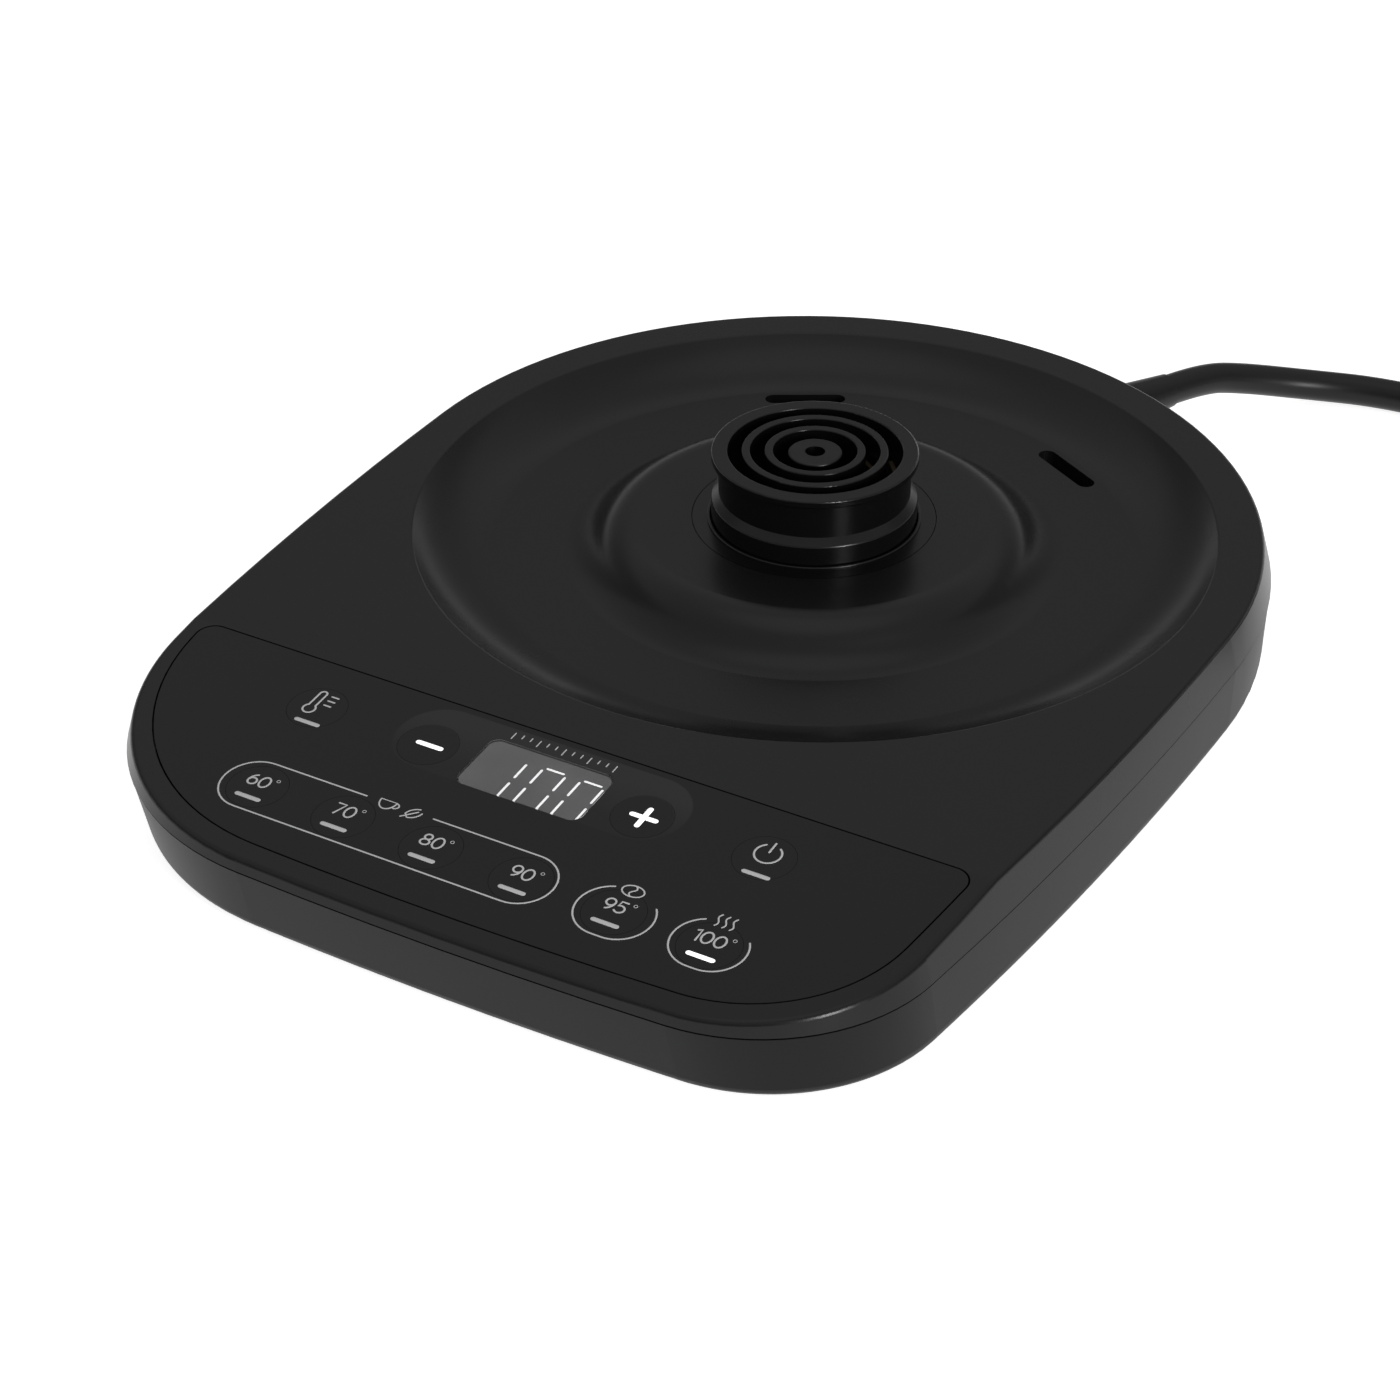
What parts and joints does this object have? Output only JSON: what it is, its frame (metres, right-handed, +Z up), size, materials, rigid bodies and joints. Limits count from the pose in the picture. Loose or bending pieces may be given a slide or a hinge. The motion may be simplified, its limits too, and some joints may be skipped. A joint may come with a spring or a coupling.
{
  "type": "electric kettle power base",
  "caption": "Low black power base for an electric kettle: a dished seat round a ring connector, a tilted key panel with a display, and a coiled mains lead.",
  "frame": {"origin": "on the surface the base stands on, under the middle of the housing's box", "axes": "+Z up, +Y to the rear where the cord leaves, -Y to the front edge of the control panel, +X to the user's right"},
  "size_m": [0.2494, 0.2665, 0.0359],
  "materials": {
    "housing": "satin black",
    "tray": "satin black",
    "fascia": "glossy black",
    "window": "clear, lightly tinted",
    "display": "grey display glass",
    "rubber": "matte black",
    "sheath": "satin black",
    "steel": "bright",
    "brass": "plain",
    "board": "green lacquer",
    "dark_part": "moulded",
    "pale_part": "moulded",
    "brown_wire": "plain",
    "blue_wire": "plain",
    "green_wire": "plain"
  },
  "bodies": {
    "base": {"upper_housing": "housing", "lower_housing": "tray", "feet": "rubber", "housing_screws": "steel", "connector_body": "housing", "connector_collar": "housing", "connector_seal": "rubber", "connector_back": "dark_part", "line_contact": "brass", "neutral_contact": "brass", "earth_sleeve": "steel", "connector_screws": "steel", "control_panel": "fascia", "panel_gasket": "rubber", "display_window": "window", "lcd_glass": "display", "lcd_light": "pale_part", "lcd_strips": "rubber", "lcd_holder": "dark_part", "control_board": "board", "board_screws": "steel", "key_switches": "dark_part", "key_lights": "pale_part", "controller_chip": "dark_part", "buzzer": "dark_part", "power_board": "board", "power_board_screws": "steel", "relay": "dark_part", "transformer": "dark_part", "capacitor": "pale_part", "fuse": "dark_part", "board_header": "dark_part", "terminal_tabs": "brass", "wire_line": "brown_wire", "wire_neutral": "blue_wire", "wire_earth": "green_wire", "wire_load": "brown_wire", "sheath_end": "sheath", "cord_clamp": "dark_part", "clamp_screws": "steel", "strain_relief": "sheath", "power_cord": "sheath", "cord_coil": "sheath", "cord_tie": "dark_part", "plug_body": "sheath", "plug_pins": "brass"},
    "key_hold": {"key_hold": "fascia"},
    "key_start_stop": {"key_start_stop": "fascia"},
    "key_minus": {"key_minus": "fascia"},
    "key_plus": {"key_plus": "fascia"},
    "key_60": {"key_60": "fascia"},
    "key_70": {"key_70": "fascia"},
    "key_80": {"key_80": "fascia"},
    "key_90": {"key_90": "fascia"},
    "key_95": {"key_95": "fascia"},
    "key_100": {"key_100": "fascia"}
  },
  "joints": [
    {"name": "key_hold_press", "type": "slide", "parent": "base", "child": "key_hold", "axis": [0, 0.0906, -0.9959], "range_m": [0, 0.0004], "stiffness_N_per_m": 1200, "springref_m": -0.0002},
    {"name": "key_start_stop_press", "type": "slide", "parent": "base", "child": "key_start_stop", "axis": [0, 0.0906, -0.9959], "range_m": [0, 0.0004], "stiffness_N_per_m": 1200, "springref_m": -0.0002},
    {"name": "key_minus_press", "type": "slide", "parent": "base", "child": "key_minus", "axis": [0, 0.0906, -0.9959], "range_m": [0, 0.0004], "stiffness_N_per_m": 1200, "springref_m": -0.0002},
    {"name": "key_plus_press", "type": "slide", "parent": "base", "child": "key_plus", "axis": [0, 0.0906, -0.9959], "range_m": [0, 0.0004], "stiffness_N_per_m": 1200, "springref_m": -0.0002},
    {"name": "key_60_press", "type": "slide", "parent": "base", "child": "key_60", "axis": [0, 0.0906, -0.9959], "range_m": [0, 0.0004], "stiffness_N_per_m": 1200, "springref_m": -0.0002},
    {"name": "key_70_press", "type": "slide", "parent": "base", "child": "key_70", "axis": [0, 0.0906, -0.9959], "range_m": [0, 0.0004], "stiffness_N_per_m": 1200, "springref_m": -0.0002},
    {"name": "key_80_press", "type": "slide", "parent": "base", "child": "key_80", "axis": [0, 0.0906, -0.9959], "range_m": [0, 0.0004], "stiffness_N_per_m": 1200, "springref_m": -0.0002},
    {"name": "key_90_press", "type": "slide", "parent": "base", "child": "key_90", "axis": [0, 0.0906, -0.9959], "range_m": [0, 0.0004], "stiffness_N_per_m": 1200, "springref_m": -0.0002},
    {"name": "key_95_press", "type": "slide", "parent": "base", "child": "key_95", "axis": [0, 0.0906, -0.9959], "range_m": [0, 0.0004], "stiffness_N_per_m": 1200, "springref_m": -0.0002},
    {"name": "key_100_press", "type": "slide", "parent": "base", "child": "key_100", "axis": [0, 0.0906, -0.9959], "range_m": [0, 0.0004], "stiffness_N_per_m": 1200, "springref_m": -0.0002}
  ]
}
